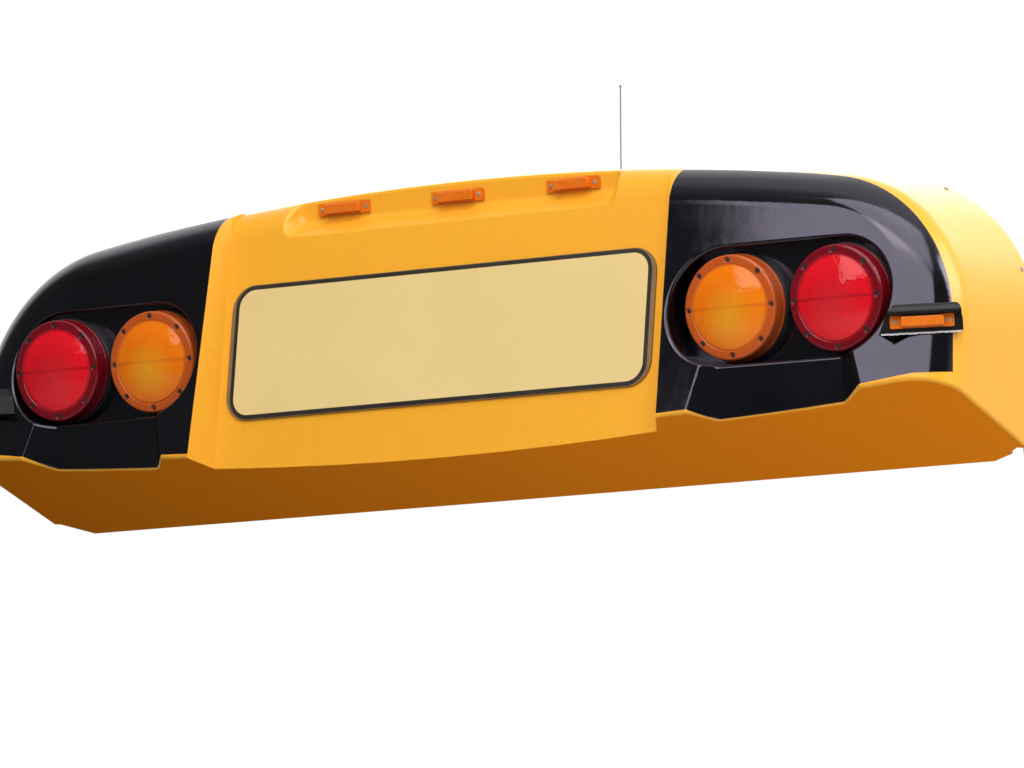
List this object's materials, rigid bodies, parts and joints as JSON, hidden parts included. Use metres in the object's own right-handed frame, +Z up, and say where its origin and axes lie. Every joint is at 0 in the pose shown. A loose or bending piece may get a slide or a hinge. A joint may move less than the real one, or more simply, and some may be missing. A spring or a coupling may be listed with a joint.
{
  "type": "school bus front roof cap",
  "caption": "Moulded front roof cap of a small school bus with black lamp pods, round warning lamps, a blank sign, marker lamps and an aerial.",
  "frame": {"origin": "centre of the bolt rectangle on the back face of the rear flange", "axes": "+Z up, -Y towards the front of the bus, +X to the right seen from the front"},
  "size_m": [2.001, 0.3879, 0.6925],
  "materials": {
    "yellow_gelcoat": "glossy yellow gelcoat on glass fibre",
    "black_gelcoat": "glossy black",
    "sign_backing": "satin brown edge strip",
    "sign_black": "satin black film",
    "sign_pale": "pale yellow film, blank",
    "amber_lens": "clear tinted plastic",
    "red_lens": "clear tinted plastic",
    "beam_glass": "fluted glass over a mirror bowl",
    "black_plastic": "satin black",
    "black_rubber": "matt",
    "steel_whip": "dark stainless"
  },
  "bodies": {
    "root": {"cap_shell": "yellow_gelcoat", "lamp_pod_left": "black_gelcoat", "lamp_pod_right": "black_gelcoat", "sign_plate": "sign_backing", "sign_border": "sign_black", "sign_face": "sign_pale", "amber_lens_left": "amber_lens", "amber_housing_left": "black_plastic", "amber_beam_left": "beam_glass", "amber_boot_left": "black_rubber", "red_lens_left": "red_lens", "red_housing_left": "black_plastic", "red_beam_left": "beam_glass", "red_boot_left": "black_rubber", "amber_lens_right": "amber_lens", "amber_housing_right": "black_plastic", "amber_beam_right": "beam_glass", "amber_boot_right": "black_rubber", "red_lens_right": "red_lens", "red_housing_right": "black_plastic", "red_beam_right": "beam_glass", "red_boot_right": "black_rubber", "identification_base_left": "black_plastic", "identification_lens_left": "amber_lens", "identification_base_middle": "black_plastic", "identification_lens_middle": "amber_lens", "identification_base_right": "black_plastic", "identification_lens_right": "amber_lens", "clearance_hood_left": "black_plastic", "clearance_lens_left": "amber_lens", "clearance_hood_right": "black_plastic", "clearance_lens_right": "amber_lens", "aerial_base": "black_rubber", "aerial_whip": "steel_whip"}
  },
  "joints": []
}
